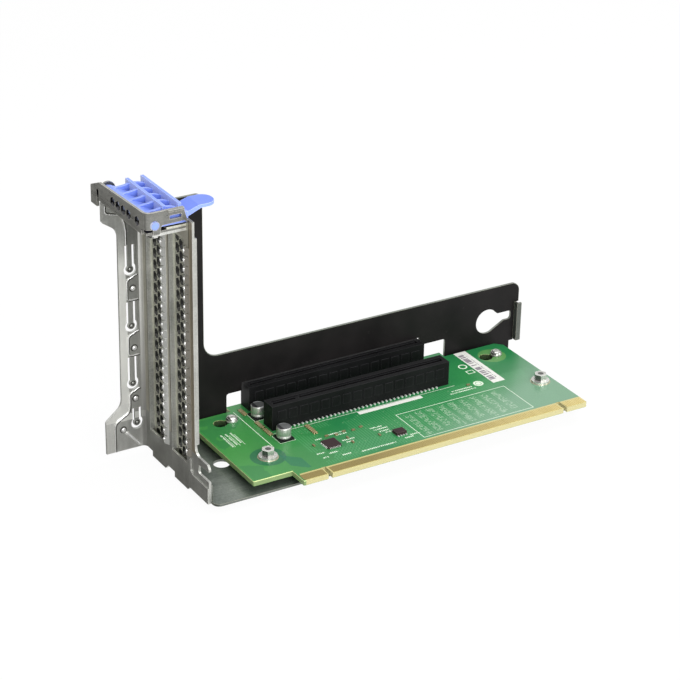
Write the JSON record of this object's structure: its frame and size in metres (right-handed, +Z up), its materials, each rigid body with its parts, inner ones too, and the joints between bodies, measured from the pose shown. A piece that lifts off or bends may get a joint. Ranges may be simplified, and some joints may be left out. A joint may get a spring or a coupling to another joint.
{
  "type": "pcie riser card",
  "caption": "Server riser cage of folded sheet steel with a horizontal riser board, upright card slots, perforated slot covers and a hinged blue retention latch.",
  "frame": {"origin": "middle of the underside of the base plate", "axes": "+X along the base from the end frame to the free end, +Y from the board's edge contacts to the back wall, +Z up"},
  "size_m": [0.2086, 0.0767, 0.1278],
  "materials": {
    "plated_steel": "satin zinc plating",
    "cover_steel": "satin",
    "screw_steel": "satin",
    "black_film": "glossy film",
    "blue_plastic": "satin moulding",
    "green_laminate": "solder resist",
    "gold": "plated",
    "black_plastic": "moulded",
    "strip_metal": "bright spring strip",
    "tinned_metal": "tinned",
    "can_aluminium": "drawn",
    "chip_black": "moulded",
    "label_paper": "printed label",
    "ceramic_tan": "fired"
  },
  "bodies": {
    "cage": {"base_tray": "plated_steel", "end_frame": "plated_steel", "latch_housing": "plated_steel", "slot_cover_rear": "cover_steel", "slot_cover_front": "cover_steel", "wall_film": "black_film", "riser_board": "green_laminate", "edge_contacts": "gold", "contact_strips": "strip_metal", "connector_rear": "black_plastic", "connector_front": "black_plastic", "connector_leads_rear": "tinned_metal", "connector_leads_front": "tinned_metal", "board_screws": "screw_steel", "board_standoffs": "screw_steel", "board_posts": "screw_steel", "housing_rivets": "screw_steel", "capacitor_cans": "can_aluminium", "capacitor_bases": "black_plastic", "resistor_arrays": "chip_black", "switch_chip": "chip_black", "memory_chip": "chip_black", "memory_chip_legs": "tinned_metal", "board_label": "label_paper", "bar_label": "label_paper", "small_passives": "ceramic_tan"},
    "latch": {"retention_latch": "blue_plastic"}
  },
  "joints": [
    {"name": "latch_hinge", "type": "hinge", "parent": "cage", "child": "latch", "pos_m": [-0.1059, 0.0105, 0.11905], "axis": [0, -1, 0], "range_deg": [0, 90]}
  ]
}
